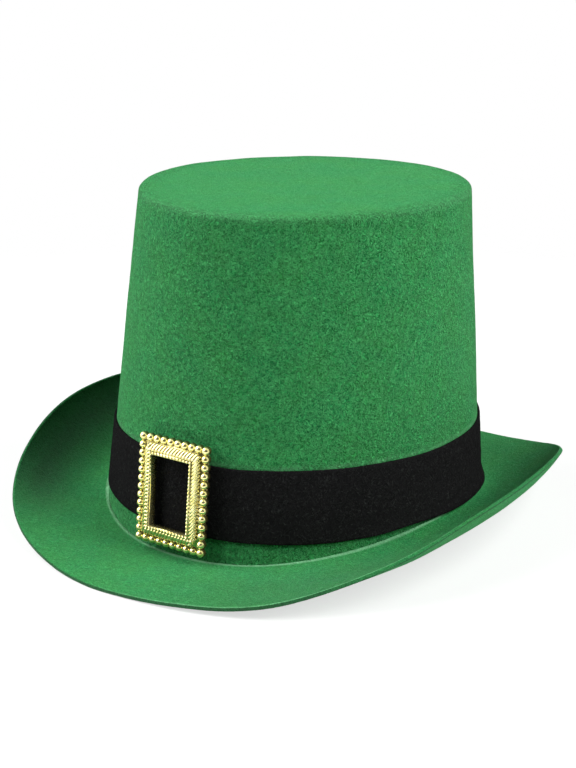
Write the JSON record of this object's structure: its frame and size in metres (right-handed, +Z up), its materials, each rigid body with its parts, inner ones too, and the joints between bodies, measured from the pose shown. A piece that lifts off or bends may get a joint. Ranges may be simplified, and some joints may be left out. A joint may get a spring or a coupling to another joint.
{
  "type": "leprechaun top hat",
  "caption": "Tall green felt top hat with a tapered crown, curled brim, black band and a gold beaded rectangular buckle; hollow for a head, rests on its brim.",
  "frame": {"origin": "on the surface that the hat rests on, in the middle of the brim's outline", "axes": "+Z up, -Y towards the front with the buckle, +X towards the wearer's left"},
  "size_m": [0.2654, 0.2852, 0.1617],
  "materials": {
    "green_felt": "matte brushed felt",
    "black_felt": "matte felt",
    "gold_plastic": "metallised gold, polished"
  },
  "bodies": {
    "root": {"crown": "green_felt", "brim": "green_felt", "band": "black_felt", "buckle": "gold_plastic"}
  },
  "joints": []
}
